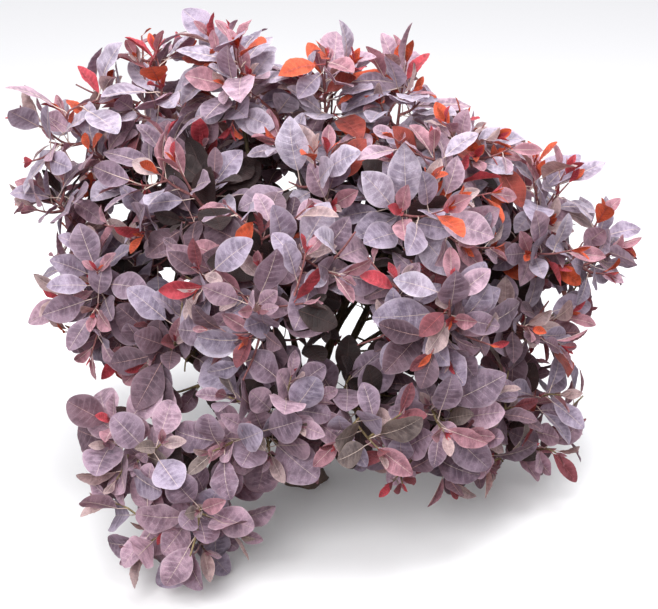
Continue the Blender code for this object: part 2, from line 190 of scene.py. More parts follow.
# How a blade rises at its foot, bends down along its length, twists, folds up along the midrib,
# curls down and waves at its rim, where that wave starts, and how its veins quilt it: ranges
HABIT = dict(rise=(0.05, 0.30), bend=(0.2, 0.8), twist=(-0.25, 0.25), fold=(0.10, 0.34),
             curl=(0.0, 0.16), wave=(0.02, 0.10), phase=(0.0, math.tau), quilt=(0.06, 0.11))
YOUNG_HABIT = HABIT | dict(bend=(0.1, 0.5), fold=(0.25, 0.60), quilt=(0.12, 0.20))
QUILT_ROUND = 0.5
QUILT_FALL = 0.7

# The blade's net: rows that follow the side veins, two for each vein with finer ones at both
# ends, and columns across. A side vein runs on towards the tip by this slant.
SIDE_VEINS = 8
VEIN_SLANT = 0.12
VEIN_ROWS = 2 * SIDE_VEINS
END_ROWS = (0.03, 0.975)
ROWS = sorted([step / VEIN_ROWS for step in range(VEIN_ROWS + 1)] + list(END_ROWS))
COLUMNS = (-1.0, -0.52, 0.0, 0.52, 1.0)
TIP_ROWS = (0.0, 0.12, 0.30, 0.50, 0.70, 0.88, 1.0)
TIP_COLUMNS = (-1.0, 0.0, 1.0)
TEST_ROWS = (0.02, 0.22, 0.42, 0.62, 0.82, 1.0)
TEST_COLUMNS = (-0.95, -0.45, 0.0, 0.45, 0.95)
RIM_WAVES = 2.2
RIM_SHIFT = 1.9
MOST_FACES = 95000

# Each leaf's own square on the map of leaves, and the margin inside it
LEAF_MAP = "OFBake"
MAP_SQUARES = 4
MAP_MARGIN = 0.02

# Stalk and midrib, one tapering tube
RIB_SIDES = 3
STALK_RINGS = 3
STALK_PULL = 0.4
MIDRIB_AT = (0.0, 0.18, 0.38, 0.58, 0.78, 0.96)
STALK_RADIUS = 0.00105
MIDRIB_RADIUS = 0.00088
MIDRIB_TIP_RADIUS = 0.00025
MIDRIB_PROUD = 0.00010
FULL_LENGTH = 0.068
LEAST_RIB_SHARE = 0.5

# A point belongs to a mass up to this squared share of its reach. Leaves also close the clefts
# between neighbouring masses: there, each mass adds to how far the others reach.
MOST_REACH = 1.12
CLEFT_FALL = 1.1
MOST_OWN_REACH = 2.2
SPACE_MARGIN = 0.03
LOWEST_LEAF = 0.003
LOWEST_TIP = 0.025

# The crown as a plain oval round its heart. A spray is an inner one, with dark leaves as painted
# shade of the crown's inside, if even this far out from its tip the crown is still this deep.
HEART = Vector((0.03, 0.06, 0.24))
CROWN_REACH = (0.60, 0.32, 0.60)
INNER_DEPTH = dict(top=0.115, front=0.075, skirt=0.085, lobe=0.085)
INNER_FIELD = 1.9

# Where the sky shows through the crown or past its edge, seen from the front: x, z and a radius
# in the plane of the trunk, all in millimetres
SEEN_FROM = Vector((0.040, -2.040, 1.140))
OPENINGS = (
    (77, 290, 24), (100, 268, 18), (-197, 186, 22), (-344, 565, 13), (-284, 470, 13), (-190, 694, 12),
    (-21, 519, 11), (-214, 365, 11), (-231, 523, 9), (-377, 693, 36), (-333, 726, 24), (-48, 786, 26),
    (-102, 806, 22), (-334, 660, 13), (-412, 588, 18), (-459, 654, 16), (-447, 586, 18),
    (-452, 540, 20), (-460, 440, 26), (-412, 424, 20), (-425, 240, 36), (-385, 190, 26),
    (-425, 15, 36), (-375, -165, 40), (-17, 742, 24), (219, 690, 36), (149, 629, 13), (306, 660, 52),
    (368, 630, 36), (533, 472, 14), (535, 315, 38), (482, 326, 18), (515, 240, 38), (484, 285, 12),
    (500, 146, 40), (75, -8, 20), (111, -10, 20), (205, -13, 18), (345, 4, 18), (370, -26, 26),
    (406, -27, 16), (484, 84, 20), (41, 643, 10), (394, 327, 15), (410, 506, 11), (429, 424, 12),
    (382, 231, 9),
)

# Seen likewise, hollows of the crown's front whose leaves take darker kinds as painted shade, the
# darkest in the deep ones, and places where inner leaves take paler kinds as painted light. Sprays
# that end further back than this keep their colours.
SHADE_PAINTED_HOLLOWS = (
    (-59, 495, 50), (-194, 413, 60), (-75, 227, 42), (20, 265, 72), (156, 227, 46), (188, 258, 56),
    (-231, 11, 40), (31, 443, 32),
)
DEEP_SHADE_PAINTED_HOLLOWS = ((0, 266, 60), (42, 280, 50))
LIGHT_PAINTED_PLACES = ((92, 471, 60), (-33, 661, 60), (408, 342, 60), (-280, 593, 50))
FRONT_END = 0.05

# The camera: where it looks, how far off and how high above the horizon it is
CAMERA_AIM = Vector((0.0405, 0.0, 0.3155))
CAMERA_DISTANCE = 2.2
CAMERA_ELEVATION = math.radians(22)
CAMERA_LENS = 75.2
SENSOR_WIDTH = 36.0

# The light: a soft sky that darkens from the horizon down, and two large soft lamps, each with its
# place, power and colour
SKY_COLOUR = (0.97, 0.97, 1.0)
GROUND_COLOUR = (0.06, 0.045, 0.04)
SKY_STRENGTH = 0.84
SKY_STEEPNESS = 5.0
SKY_AT_HORIZON = 0.6
LIGHT_AIM = Vector((0.0, 0.0, 0.35))
LAMP_SIZE = 2.0
LAMPS = (
    ("key", Vector((0.3, -0.5, 3.2)), 85.0, (0.98, 0.98, 1.0)),
    ("fill", Vector((-0.8, -2.8, 2.3)), 94.0, (1.0, 0.99, 1.0)),
)
FLOOR_SIZE = 160.0
FLOOR_TONE = 0.96


def metres(row):
    """Lengths in millimetres as metres."""
    return tuple(part / MILLIMETRES for part in row)


# A mass of foliage, with where its bough springs: a share of the height of the trunk, or of the
# length of the bough named as its parent. The rows give centre and reach in millimetres.
Mass = namedtuple("Mass", "name parent zone spring centre reach")
MASS_ROWS = (
    ("lobe_foot", "trunk", "lobe", 0.50, (-172, -305, 95), (106, 115, 90)),
    ("lobe_left", "lobe_foot", "lobe", 0.34, (-248, -270, 205), (94, 115, 90)),
    ("lobe_right", "lobe_foot", "lobe", 0.20, (-60, -300, 242), (94, 110, 87)),
    ("skirt_right", "trunk", "skirt", 0.52, (222, -220, 200), (106, 120, 108)),
    ("front_flank", "skirt_right", "front", 0.36, (207, -210, 400), (103, 120, 79)),
    ("right_low", "trunk", "skirt", 0.42, (359, -70, 130), (101, 120, 105)),
    ("left_low", "trunk", "front", 0.48, (-317, -60, 367), (102, 120, 95)),
    ("left_inner", "left_low", "skirt", 0.30, (-194, -150, 327), (87, 110, 90)),
    ("left_wing", "left_low", "front", 0.62, (-377, -30, 500), (92, 120, 49)),
    ("back_left", "trunk", "front", 0.50, (-262, 190, 456), (149, 140, 122)),
    ("back_low_left", "back_left", "skirt", 0.26, (-238, 200, 262), (150, 140, 119)),
    ("back_right", "trunk", "front", 0.50, (196, 220, 456), (154, 140, 124)),
    ("back_low_right", "back_right", "skirt", 0.26, (139, 220, 264), (169, 140, 120)),
    ("back_flank", "back_right", "skirt", 0.40, (342, 160, 305), (137, 140, 124)),
    ("front_heart", "trunk", "front", 0.80, (-48, -240, 442), (112, 120, 91)),
    ("skirt_mid", "front_heart", "skirt", 0.34, (88, -240, 240), (112, 120, 92)),
    ("right_high", "trunk", "top", 0.78, (381, 0, 482), (96, 120, 88)),
    ("right_mid", "right_high", "front", 0.40, (386, -40, 297), (95, 120, 82)),
    ("right_tip", "right_high", "top", 0.66, (462, -30, 399), (84, 110, 67)),
    ("upper_left", "trunk", "top", 0.80, (-231, 20, 662), (91, 120, 86)),
    ("left_high", "upper_left", "top", 0.55, (-342, 0, 594), (101, 120, 82)),
    ("back_top", "trunk", "front", 0.80, (-77, 230, 515), (143, 130, 125)),
    ("peak_left", "trunk", "top", 0.94, (-97, 20, 699), (81, 110, 80)),
    ("front_left", "peak_left", "front", 0.45, (-160, -140, 550), (101, 130, 92)),
    ("peak_right", "trunk", "top", 0.94, (149, 30, 650), (83, 120, 86)),
    ("front_right", "peak_right", "top", 0.32, (170, -170, 537), (103, 120, 86)),
    ("upper_right", "peak_right", "top", 0.46, (259, 20, 562), (90, 120, 88)),
    ("peak_mid", "peak_right", "top", 0.55, (34, 20, 656), (82, 120, 86)),
    ("front_top", "peak_mid", "top", 0.25, (20, -130, 562), (95, 120, 80)),
)
MASSES = [Mass(*row[:4], *map(metres, row[4:])) for row in MASS_ROWS]
CENTRES = np.array([mass.centre for mass in MASSES])
REACHES = np.array([mass.reach for mass in MASSES])


# The leaders: the mass that each stands out of, where it ends, in millimetres, and its way there
LEADERS = (
    ("peak_left", (-135, 20, 738), (-0.6, -0.2, 1.0)),
    ("peak_left", (-94, -20, 730), (0.3, -0.4, 1.0)),
    ("upper_left", (-222, 20, 718), (-0.3, -0.3, 1.0)),
    ("left_high", (-300, 0, 660), (-0.8, -0.3, 0.6)),
    ("left_high", (-405, -10, 616), (-1.0, -0.2, 0.5)),
    ("left_wing", (-412, -30, 502), (-1.0, -0.3, 0.1)),
    ("left_low", (-372, -80, 362), (-1.0, -0.5, -0.1)),
    ("left_low", (-280, -130, 282), (-0.3, -0.6, -0.8)),
    ("left_inner", (-228, -190, 300), (-0.4, -0.6, -0.7)),
    ("left_inner", (-172, -200, 290), (0.3, -0.7, -0.7)),
    ("peak_mid", (30, 20, 690), (-0.1, -0.3, 1.0)),
    ("peak_mid", (75, 0, 700), (-0.2, -0.3, 1.0)),
    ("peak_right", (145, 20, 694), (0.4, -0.2, 1.0)),
    ("peak_right", (166, -10, 664), (1.0, -0.4, 0.5)),
    ("upper_right", (244, 0, 614), (0.2, -0.3, 1.0)),
    ("upper_right", (290, 0, 588), (0.7, -0.4, 0.8)),
    ("right_high", (356, 0, 550), (0.1, -0.4, 1.0)),
    ("right_high", (404, 0, 536), (0.4, -0.3, 1.0)),
    ("right_tip", (458, -20, 468), (0.8, -0.3, 0.7)),
    ("right_tip", (486, -30, 424), (1.0, -0.3, 0.0)),
    ("right_low", (398, -120, 112), (0.8, -0.6, -0.4)),
    ("right_low", (402, -100, 203), (0.9, -0.5, 0.0)),
    ("lobe_left", (-270, -278, 248), (-0.7, -0.6, 0.4)),
    ("lobe_left", (-262, -320, 176), (-0.7, -0.7, -0.5)),
    ("lobe_foot", (-278, -335, 146), (-0.9, -0.6, -0.1)),
    ("lobe_foot", (-234, -350, 76), (-0.7, -0.6, -0.4)),
    ("lobe_foot", (-90, -340, 100), (0.7, -0.7, -0.2)),
    ("lobe_foot", (-138, -345, 76), (0.5, -0.7, -0.5)),
    ("lobe_right", (-124, -350, 236), (-0.6, -0.7, 0.1)),
)


# Ranges for a blade's form by zone: its width as a share of its length, how far its widest place
# lies towards the tip (1 is the middle), and how blunt its foot and its tip are (less is blunter)
FORM_NAMES = ("width", "widest", "base_form", "tip_form")
FORMS = dict(
    top=((0.55, 0.71), (0.92, 1.12), (0.76, 0.92), (0.70, 0.96)),
    front=((0.55, 0.71), (0.95, 1.16), (0.76, 0.92), (0.66, 0.92)),
    skirt=((0.58, 0.74), (0.98, 1.22), (0.78, 0.94), (0.56, 0.80)),
    lobe=((0.68, 0.84), (1.02, 1.28), (0.76, 0.90), (0.48, 0.66)),
)
YOUNG_FORM = ((0.46, 0.60), (1.00, 1.18), (0.80, 0.95), (0.62, 0.82))
TIP_FORM = ((0.22, 0.40), (0.90, 1.10), (0.85, 1.00), (0.85, 1.05))
LEAF_LENGTHS = dict(top=(0.070, 0.095), front=(0.070, 0.095), skirt=(0.066, 0.092), lobe=(0.066, 0.086))


# A kind of leaf: its base colour, its veins' and rim's colours, the colour of the light that comes
# through it, and its stalk and midrib. Colours are screen values, 0 to 255.
Kind = namedtuple("Kind", "blade vein rim through rib")
KINDS = dict(
    # Pale waxy bloom, and partly a painted highlight of the sky's light
    frost=Kind((189, 178, 196), (220, 210, 218), (230, 220, 226), (196, 140, 158), "cream"),
    lilac=Kind((170, 157, 178), (202, 192, 200), (216, 204, 212), (182, 122, 140), "cream"),
    mauve=Kind((150, 129, 147), (186, 168, 176), (200, 182, 190), (174, 94, 104), "cream"),
    plum=Kind((112, 88, 101), (150, 128, 136), (162, 140, 148), (146, 66, 68), "blush"),
    # Near black: painted shade for leaves deep in the crown and in its hollows
    dusk=Kind((44, 27, 27), (54, 34, 33), (58, 37, 36), (96, 32, 26), "dusk"),
    rose=Kind((188, 157, 174), (214, 194, 200), (226, 204, 210), (202, 120, 134), "cream"),
    tan=Kind((190, 166, 166), (150, 110, 114), (222, 200, 194), (214, 130, 112), "cream"),
    blush=Kind((182, 134, 146), (132, 78, 90), (216, 168, 172), (220, 96, 100), "cream"),
    olive=Kind((134, 119, 117), (162, 147, 137), (172, 157, 147), (160, 124, 84), "cream"),
    wine=Kind((122, 64, 74), (154, 98, 104), (166, 108, 110), (190, 50, 46), "ruby"),
    crimson=Kind((194, 62, 76), (204, 104, 114), (214, 124, 128), (220, 60, 66), "ruby"),
    # Orange-red young or turned leaves, and partly a painted glow of light through them
    scarlet=Kind((214, 84, 44), (222, 126, 84), (226, 136, 96), (236, 92, 38), "ruby"),
    maroon=Kind((142, 52, 40), (172, 88, 66), (182, 94, 70), (206, 54, 34), "ruby"),
)
# The darkest stalks and midribs are painted shade, for the leaves deep in the crown and in its hollows
RIBS = dict(cream=(224, 202, 190), blush=(186, 146, 140), ruby=(176, 84, 84), dusk=(84, 54, 50))
DARK_KINDS = ("plum", "dusk", "wine", "maroon")

# How the tones of whole sprays are dealt out in each zone, and what their young leaves and the
# tiny ones at the tip take
TONES = dict(
    # The many pale leaves at the top are partly painted highlight
    top=dict(frost=7, lilac=4, mauve=1, rose=4, tan=1),
    front=dict(frost=2, lilac=5, mauve=4, plum=2, rose=2),
    skirt=dict(lilac=6, mauve=9, plum=7, olive=1, rose=4),
    lobe=dict(rose=9, mauve=9, lilac=7, plum=2, olive=1),
)
# Inner sprays mostly take these dark tones, painted shade of the crown's inside
INNER_SHADE_PAINTED_TONES = dict(plum=2, dusk=5, mauve=1)
YOUNG_TONES = dict(
    top=dict(tan=3, blush=4, rose=1, crimson=2, scarlet=2),
    front=dict(tan=5, blush=4, rose=1, crimson=1),
    skirt=dict(tan=3, blush=3, wine=2),
    lobe=dict(rose=4, tan=2, blush=2, olive=1),
)
ACCENTS = dict(
    # Many tips at the top take orange-red, partly a painted glow of light through them
    top=dict(crimson=4, scarlet=6, maroon=1),
    front=dict(crimson=4, scarlet=3, blush=2),
    skirt=dict(crimson=2, wine=2, blush=3),
    lobe=dict(blush=5, crimson=1),
)
ACCENT_CHANCE = dict(top=0.68, front=0.36, skirt=0.25, lobe=0.25)
# How often a full-grown leaf of a spray in this zone has turned red
TURNED = dict(top=0.065, front=0.03, skirt=0.01, lobe=0.0)
TURNED_TONES = dict(maroon=3, scarlet=3, wine=2)
# What leaves turn into: darker kinds as painted shade in the hollows and the deep ones, paler
# kinds as painted light in the lit places
SHADE_PAINTED_KINDS = dict(frost="mauve", lilac="plum", mauve="plum", plum="dusk", rose="plum", tan="plum",
              blush="wine", wine="dusk", crimson="wine", scarlet="maroon", olive="dusk")
DEEP_SHADE_PAINTED_KINDS = dict.fromkeys(KINDS, "dusk")
LIGHT_PAINTED = dict(dusk="lilac", plum="lilac", mauve="frost", lilac="frost")
STRAY_SHARE = 0.30
INNER_STRAY_SHARE = 0.10

# The leaf's colours: how much paler and deeper it is in places, how deep its middle is, the
# painted shade in bands between its side veins, and the flush of the colour that shines through
# it. A spread is a pattern's contrast and its middle.
PALE = 1.12
PALE_LIFT = 0.01
DEEP = (0.51, 0.50, 0.54)
PATCH_SCALE = 70.0
PATCH_DETAIL = (4.0, 0.62)
PATCH_STRENGTH = 4.6
PATCH_LIFT = 0.10
MIDDLE_SHARE = 0.45
QUILT_PAINTED_SHADE = 0.17
FLUSH_SCALE = 16.0
FLUSH_SPREAD = (4.0, 0.10)
FLUSH_SHARE = 0.10

# Its dark specks and the net of small veins
DARKEST = 0.7
GRAIN_SCALE = 420.0
SPECK_SPREAD = (1.6, 0.25)
SPECK_SHARE = 0.26
SMALL_VEINS = (26.0, 12.0, 0.0)
SMALL_VEIN_WIDTH = 0.10
SMALL_VEIN_SHARE = 0.15
SMALL_VEIN_MIDDLE_SHARE = 0.40

# Its side veins and rim
VEIN_SHARPNESS = 14.0
VEIN_SHARE = 0.34
VEIN_FADE = 3.0
RIM_SHARPNESS = 16.0
RIM_SHARE = 0.55
MIDDLE_LENGTH = 5.0
MIDDLE_WIDTH = 1.6

# Its surface. Each bump is a strength and a depth.
VEIN_HEIGHT = -0.6
GRAIN_HEIGHT = 0.3
SMALL_VEIN_HEIGHT = -0.35
LEAF_BUMP = (0.9, 0.0007)
LEAF_SURFACE = {"Roughness": 0.52, "Specular IOR Level": 0.34, "Sheen Weight": 0.10,
                "Sheen Roughness": 0.6}
THROUGH_SHARE = 0.12

# The finish of stalks, and of bark with its dark and light colour, screen values, and its scale
RIB_GRAIN_SCALE = 90.0
RIB_TONES = (0.7, 1.25)
RIB_ROUGHNESS = 0.5
BARK_DETAIL = (6.0, 0.65)
BARK_SPREAD = (2.6, 0.5)
BARK_BUMP = (0.7, 0.001)
BARK_ROUGHNESS = 0.8
BARKS = dict(
    trunk=((62, 50, 46), (118, 98, 86), 60.0),
    bough=((50, 41, 29), (100, 86, 60), 120.0),
    purple_twig=((92, 50, 54), (154, 100, 98), 200.0),
    olive_twig=((92, 78, 54), (156, 138, 100), 200.0),
)

# How finely the wood's meshes are made, and their relief
TRUNK_RINGS = 47
TRUNK_SIDES = 72
TRUNK_TOP_SHARE = 0.995
TRUNK_SHOULDER = 4
TRUNK_GRAIN = 190.0
TRUNK_RELIEF = 0.035
TRUNK_CRACKS = 0.3
TRUNK_OCTAVES = 5
BOUGH_RING_GAP = 0.005
BOUGH_LEAST_RINGS = 12
BOUGH_SIDES = 12
BOUGH_RELIEF = 0.0004
BOUGH_GRAIN = Vector((260.0, 260.0, 91.0))
BOUGH_OCTAVES = 4
RELIEF_ROUGHNESS = 0.6
RELIEF_FINER = 2.1
TWIG_RINGS = 10
TWIG_SIDES = 6


def linear(colour):
    """Screen values from 0 to 255 as linear light."""
    scaled = [part / 255.0 for part in colour]
    return tuple(part / 12.92 if part < 0.04045 else ((part + 0.055) / 1.055) ** 2.4 for part in scaled)


def pick(weights, rng):
    """One of these names, drawn by its weight."""
    return rng.choices(list(weights), weights.values())[0]


# Growth, by the rule of the solids


def cubic(start, start_pull, end_pull, end, t):
    """A place on a cubic curve, or many on many curves at once."""
    s = 1.0 - t
    return s**3 * start + 3 * s * s * t * start_pull + 3 * s * t * t * end_pull + t**3 * end


def bezier(start, start_pull, end_pull, end, count):
    """Evenly spaced points on a cubic curve."""
    return [cubic(start, start_pull, end_pull, end, step / count) for step in range(count + 1)]


def along(points, share):
    """The place and the direction at a share of the way along a line of points."""
    at = share * (len(points) - 1)
    first = min(int(at), len(points) - 2)
    place = points[first].lerp(points[first + 1], at - first)
    return place, (points[first + 1] - points[first]).normalized()


def distance_in(mass, point):
    """0 at the centre of a mass and 1 at its outer surface, squared."""
    return sum(((p - c) / r) ** 2 for p, c, r in zip(point, mass.centre, mass.reach))


def in_space(mass, point):
    """Whether a point lies in the space of this mass and of no other, and above the ground."""
    own = distance_in(mass, point)
    if own > MOST_REACH or point.z < GAP:
        return False
    return all(own < distance_in(other, point) - SPACE_MARGIN for other in MASSES if other is not mass)


def carried(name):
    """How many masses a bough feeds, its own among them."""
    return 1 + sum(carried(mass.name) for mass in MASSES if mass.parent == name)


def trunk_axis(height):
    """The middle of the leaning trunk at a height."""
    return Vector((TRUNK_LEAN[0] * height, TRUNK_LEAN[1] * height, height))


def bough_line(mass, lines):
    """The middle of the bough that feeds a mass: it leaves steeply and arches over to enter the
    mass from the side of the root."""
    centre = Vector(mass.centre)
    if mass.parent == "trunk":
        start, parent_way = trunk_axis(mass.spring * TRUNK_HEIGHT), None
    else:
        start, parent_way = along(lines[mass.parent], mass.spring)
    away = centre - start
    outward = (away * Vector((1.0, 1.0, 0.0))).normalized()
    rise = math.atan2(away.z, math.hypot(away.x, away.y))
    if parent_way:
        leave = (parent_way + away.normalized()).normalized()
    else:
        lift = min(BOUGH_MOST_LIFT, max(BOUGH_LEAST_LIFT, rise + BOUGH_START_LIFT))
        leave = outward * math.cos(lift) + UP * math.sin(lift)
    slope = min(BOUGH_MOST_LIFT, rise * BOUGH_ARRIVAL_STEEPNESS - BOUGH_ARRIVAL_DROOP)
    arrive = outward * math.cos(slope) + UP * math.sin(slope)
    inside = 0.0
    while in_space(mass, centre - arrive * inside):
        inside += BOUGH_STEP
    end = centre - arrive * inside * BOUGH_INSIDE_SHARE
    length = (end - start).length
    return bezier(start, start + leave * length * BOUGH_START_SHARE,
                  end - arrive * length * BOUGH_END_SHARE, end, BOUGH_LINE_STEPS)


def across(direction):
    """Any direction at right angles to this one."""
    other = UP if abs(direction.z) < NEARLY_UPRIGHT else Vector((1.0, 0.0, 0.0))
    return direction.cross(other).normalized()


def branching(way, turn, spread):
    """What leaves a twig at this spread, this far round it: its way, and the way its inner side
    faces."""
    away = Matrix.Rotation(turn, 3, way) @ across(way)
    return (way * math.cos(spread) + away * math.sin(spread),
            way * math.sin(spread) - away * math.cos(spread))


def side_twigs(line, first, last, count, size, spread, turned, rng):
    """Side twigs spaced by the golden angle round a line, each curving out and up."""
    twigs, turn = [], rng.uniform(0.0, math.tau)
    for number in range(count):
        start, way = along(line, first + (last - first) * number / count)
        turn += GOLDEN_ANGLE
        leave, _ = branching(way, turn, spread)
        finish = (leave + turned).normalized()
        half = size * rng.uniform(*SHOOT_LENGTHS) / 2
        twigs.append([start, start + leave * half, start + (leave + finish) * half])
    return twigs


def first_twigs(mass, line, rng):
    """The stem of a mass, followed by its side shoots, just as in the solids."""
    tip, way = along(line, 1.0)
    centre = Vector(mass.centre)
    outward = (centre - HEART).normalized()
    turned = SHOOT_TURNS_OUT * outward + SHOOT_TURNS_UP * UP
    inner = tip + way * GAP
    reach = (centre - inner).length
    top = centre + turned * min(mass.reach)
    stem = bezier(inner, inner + way * reach * STEM_START_SHARE,
                  centre - turned * reach * STEM_END_SHARE, top, STEM_LINE_STEPS)
    count = WIDE_SIDE_SHOOTS if max(mass.reach) > WIDE_REACH else SIDE_SHOOTS
    size = SHOOT_LENGTH_SHARE * sum(mass.reach) / 3
    shoots = side_twigs(stem, FIRST_SHOOT, LAST_SHOOT, count, size, SHOOT_SPREAD, turned, rng)
    return [stem] + [shoot for shoot in shoots if all(in_space(mass, point) for point in shoot)]


# Growth beyond the solids: leaders and finer twigs


def crown_field(places):
    """For each mass how far off places are, and how deep in the crown: 1 at its outside."""
    shares = (((places[:, None] - CENTRES) / REACHES) ** 2).sum(axis=2)
    return shares, np.exp(CLEFT_FALL * (MOST_REACH - shares)).sum(axis=1)


def in_crown(places, mass, most):
    """Whether places lie in the crown, not too far from their own mass."""
    shares, depths = crown_field(places)
    near = shares[:, MASSES.index(mass)].max() < MOST_OWN_REACH
    return near and depths.min() > math.exp(CLEFT_FALL * (MOST_REACH - most))


def out_of_crown(place):
    """The way the crown's outside faces at a place, as if the crown were a plain oval."""
    return Vector([part / reach**2 for part, reach in zip(place - HEART, CROWN_REACH)]).normalized()


@lru_cache
def sight_lines(rows):
    """The lines from the viewer through the places of these rows, and their radii."""
    ways = [Vector(metres((x, 0, z))) - SEEN_FROM for x, z, _ in rows]
    return np.array(ways), np.array(metres(radius for *_, radius in rows))


def met(rows, places):
    """For each of these places, whether it lies on one of these rows' sight lines."""
    ways, radii = sight_lines(rows)
    seen = places[:, None] - np.array(SEEN_FROM)
    shares = (seen * ways).sum(axis=2) / (ways**2).sum(axis=1)
    off = np.linalg.norm(seen - shares[..., None] * ways, axis=2)
    return (off < radii * shares).any(axis=1)


def toned(kind, tip, middle):
    """The kind that a leaf turns into if its spray's tip and its own middle both lie in a hollow
    of the crown's front, a darker one as painted shade, or in a lit place there, a paler one as
    painted light."""
    places = np.array([tip, middle])
    for rows, kinds in ((DEEP_SHADE_PAINTED_HOLLOWS, DEEP_SHADE_PAINTED_KINDS), (SHADE_PAINTED_HOLLOWS, SHADE_PAINTED_KINDS), (LIGHT_PAINTED_PLACES, LIGHT_PAINTED)):
        if tip.y <= FRONT_END and met(rows, places).all():
            return kinds.get(kind, kind)
    return kind


def leader_line(tip, way, hosts):
    """A shoot from the place on these twigs that gives it about its usual length."""
    tip, way = Vector(metres(tip)), Vector(way).normalized()
    springs = [along(host, share) for host in hosts for share in LEADER_SPRINGS]
    start, leave = min(springs, key=lambda spring: abs((tip - spring[0]).length - LEADER_LENGTH))
    pull = LEADER_PULL * (tip - start).length
    return bezier(start, start + leave * pull, tip - way * pull, tip, LEADER_STEPS)


def fine_twigs(mass, bough_points, hosts, tips, rng):
    """Twigs that fill the mass, generation by generation. tips holds every tip so far."""
    turned = FINE_TURNS_OUT * (Vector(mass.centre) - HEART).normalized() + FINE_TURNS_UP * UP
    size = FINE_LENGTH_SHARE * sum(mass.reach) / 3
    room = TIP_ROOM[mass.zone]
    grown = []
    bough = [along(bough_points, share)[0] for share in BOUGH_TWIGS_ALONG]
    springs = side_twigs(bough, 0.0, 1.0, BOUGH_TWIGS, size, FINE_SPREAD, turned, rng)
    for generation in range(FINE_GENERATIONS):
        for host in hosts:
            springs += side_twigs(host, FINE_FIRST, FINE_LAST, FINE_TWIGS, size, FINE_SPREAD, turned, rng)
        fresh = []
        for fine in springs:
            tip = fine[-1]
            if tip.z < LOWEST_TIP or not in_crown(np.array([tip]), mass, TIP_REACH):
                continue
            crowded = any((tip - other).length < room for other in tips)
            if not crowded and not met(OPENINGS, np.array(fine)).any():
                tips.append(tip)
                fresh.append(fine)
        grown += fresh
        hosts, springs = fresh, []
    return grown


# Leaves: one record each, with everything that its blade and stalk are worked out from


def leaf_record(stand, way, faces, length, form, young, rng):
    """A leaf whose blade starts at a place, points one way and faces another."""
    side = faces.cross(way).normalized()
    ranges = dict(zip(FORM_NAMES, form)) | (YOUNG_HABIT if young else HABIT)
    drawn = {name: rng.uniform(*span) for name, span in ranges.items()}
    return {"base": stand, "axes": (way, side, way.cross(side)), "length": length, **drawn}


def stacked(leaves):
    """What is known of the leaves as arrays, one row for each leaf."""
    return {name: np.array([leaf[name] for leaf in leaves]) for name in leaves[0]}


def blade_points(table, rows, columns):
    """Points on the blades at the net's rows and columns, and the way up from them there."""
    def of(name):
        return table[name][:, None, None]

    q = np.asarray(rows)[None, :, None]
    v = np.asarray(columns)[None, None, :]
    middle = 4.0 * q * (1.0 - q)
    t = q + VEIN_SLANT * np.abs(v) * middle
    form = of("base_form") * (1.0 - t) + of("tip_form") * t
    outline = np.clip(np.sin(np.pi * np.clip(t, 0.0, 1.0) ** of("widest")), 0.0, 1.0) ** form
    half = 0.5 * of("width") * outline
    angle = of("rise") - of("bend") * t
    middle_x = (np.sin(of("rise")) - np.sin(angle)) / of("bend")
    middle_z = (np.cos(angle) - np.cos(of("rise"))) / of("bend")
    out = v * half
    wave = np.sin(math.tau * RIM_WAVES * t + of("phase") + RIM_SHIFT * (v > 0.0)) * of("wave")
    ridge = (0.5 - 0.5 * np.cos(math.tau * SIDE_VEINS * q)) * of("quilt")
    ridge = ridge * np.abs(v) ** QUILT_ROUND * (1.0 - QUILT_FALL * v**4)
    ridge = ridge * np.clip(middle, 0.0, 1.0) ** QUILT_ROUND
    lift = np.abs(out) * np.sin(of("fold")) - of("curl") * v * v * half
    lift = lift + (wave * v * v + ridge) * half
    flat = out * np.cos(of("fold"))
    turn = of("twist") * t
    y = flat * np.cos(turn) - lift * np.sin(turn)
    n = flat * np.sin(turn) + lift * np.cos(turn)
    x = middle_x - n * np.sin(angle)
    z = middle_z + n * np.cos(angle)
    local = np.stack(np.broadcast_arrays(x, y, z), axis=-1) * table["length"][:, None, None, None]
    places = table["base"][:, None, None, :] + np.einsum("lrcd,lde->lrce", local, table["axes"])
    level = np.stack(np.broadcast_arrays(-np.sin(angle), 0.0 * angle, np.cos(angle)), axis=-1)
    return places, np.einsum("lrcd,lde->lrce", level, table["axes"])


def net_faces(rows, columns):
    """Four-sided faces of a net of points, row by row, facing up."""
    first = (np.arange(rows - 1)[:, None] * columns + np.arange(columns - 1)[None, :]).ravel()
    return np.stack([first, first + columns, first + columns + 1, first + 1], axis=1)


TEST_FACES = net_faces(len(TEST_ROWS), len(TEST_COLUMNS)).tolist()


class Crown:
    """The leaves placed so far, and what a new one must keep clear of."""

    def __init__(self):
        self.leaves = []
        self.trees = []
        self.middles = np.zeros((0, 3))

    def fits(self, mass, leaf, strict, leading):
        """A search tree over the leaf's rough shape and its middle if it fits, or None. strict
        keeps it from cutting through others, leading lets it stand out of the crown."""
        places = blade_points(stacked([leaf]), TEST_ROWS, TEST_COLUMNS)[0].reshape(-1, 3)
        spare = OUTLINE_SPARE if leading else 0.0
        low, high = SOLIDS_BOX
        if (places < np.array(low) - spare).any() or (places > np.array(high) + spare).any():
            return None
        if places[:, 2].min() < LOWEST_LEAF or not (leading or in_crown(places, mass, MOST_REACH)):
            return None
        if met(OPENINGS, places).any():
            return None
        tree = BVHTree.FromPolygons(places.tolist(), TEST_FACES)
        middle = places.mean(axis=0)
        if strict:
            gaps = np.linalg.norm(self.middles - middle, axis=1)
            for index in np.nonzero(gaps < NEIGHBOUR_REACH)[0]:
                if tree.overlap(self.trees[index]):
                    return None
        return tree, middle

    def add(self, leaf, tree, middle):
        self.leaves.append(leaf)
        self.trees.append(tree)
        self.middles = np.vstack([self.middles, middle])


